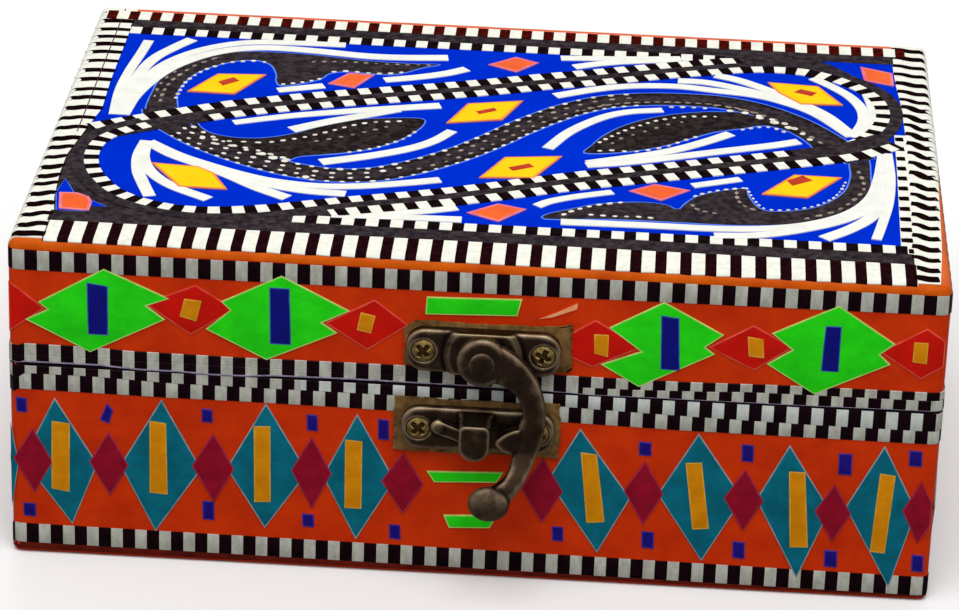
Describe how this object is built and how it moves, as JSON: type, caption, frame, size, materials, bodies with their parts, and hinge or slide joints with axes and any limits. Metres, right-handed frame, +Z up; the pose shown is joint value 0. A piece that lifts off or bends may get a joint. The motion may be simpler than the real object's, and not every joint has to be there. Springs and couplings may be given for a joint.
{
  "type": "storage box",
  "caption": "Hinged wooden keepsake box wrapped in bright cut adhesive film with check borders, velvet lined, closed by a swing-arm hook latch on the front and surface hinges on the back",
  "frame": {"origin": "centre of the flat underside of the base", "axes": "+X to the right along the front, +Y to the back, +Z up; the latch is on the front face, towards -Y"},
  "size_m": [0.1786, 0.143, 0.067],
  "materials": {
    "wood": "sanded softwood and board, glued, bare inside the joints",
    "film_orange": "glossy orange adhesive film with raised cut motifs in green, red, teal, maroon, amber and blue",
    "film_blue": "glossy cobalt blue adhesive film with laid ribbons",
    "tape_check": "adhesive tape printed in black and white checks",
    "ribbon_dark": "dark brown adhesive ribbon with a row of white squares along its inner edge",
    "film_khaki": "khaki film patch under the latch plates",
    "velvet": "short pile velvet glued to card",
    "bronze": "antique bronze plating on cast and stamped metal",
    "screw_brass": "aged brass, cross slot"
  },
  "bodies": {
    "base": {"base_back_wall": "wood", "base_bottom_board": "wood", "base_floor_lining": "velvet", "base_front_wall": "wood", "base_left_wall": "wood", "base_lower_check_tape": "tape_check", "base_right_wall": "wood", "base_side_film": "film_orange", "base_upper_check_tape": "tape_check", "base_wall_lining": "velvet", "hinge_left_base_leaf": "bronze", "hinge_left_base_screw_inner": "screw_brass", "hinge_left_base_screw_outer": "screw_brass", "hinge_left_pin": "bronze", "hinge_right_base_leaf": "bronze", "hinge_right_base_screw_inner": "screw_brass", "hinge_right_base_screw_outer": "screw_brass", "hinge_right_pin": "bronze", "keeper_backing_patch": "film_khaki", "keeper_plate": "bronze", "keeper_screw_left": "screw_brass", "keeper_screw_right": "screw_brass"},
    "lid": {"hinge_left_lid_leaf": "bronze", "hinge_left_lid_screw_inner": "screw_brass", "hinge_left_lid_screw_outer": "screw_brass", "hinge_right_lid_leaf": "bronze", "hinge_right_lid_screw_inner": "screw_brass", "hinge_right_lid_screw_outer": "screw_brass", "latch_backing_patch": "film_khaki", "latch_pivot_rivet": "bronze", "latch_plate": "bronze", "latch_screw_left": "screw_brass", "latch_screw_right": "screw_brass", "lid_back_wall": "wood", "lid_ceiling_lining": "velvet", "lid_film": "film_orange", "lid_front_wall": "wood", "lid_left_wall": "wood", "lid_lower_check_tape": "tape_check", "lid_right_wall": "wood", "lid_top_board": "wood", "lid_upper_check_tape": "tape_check", "lid_wall_lining": "velvet", "top_back_border_tape": "tape_check", "top_back_ribbon": "ribbon_dark", "top_blue_panel": "film_blue", "top_front_border_tape": "tape_check", "top_front_ribbon": "ribbon_dark", "top_left_border_tape": "tape_check", "top_right_border_tape": "tape_check"},
    "latch_arm": {"latch_swing_arm": "bronze"}
  },
  "joints": [
    {"name": "lid_hinge", "type": "hinge", "parent": "base", "child": "lid", "pos_m": [0, 0.0655, 0.041], "axis": [-1, 0, 0], "range_deg": [0, 180]},
    {"name": "latch_arm_pivot", "type": "hinge", "parent": "lid", "child": "latch_arm", "pos_m": [0.0017, -0.0685, 0.0487], "axis": [0, -1, 0], "range_deg": [-15, 180]}
  ]
}
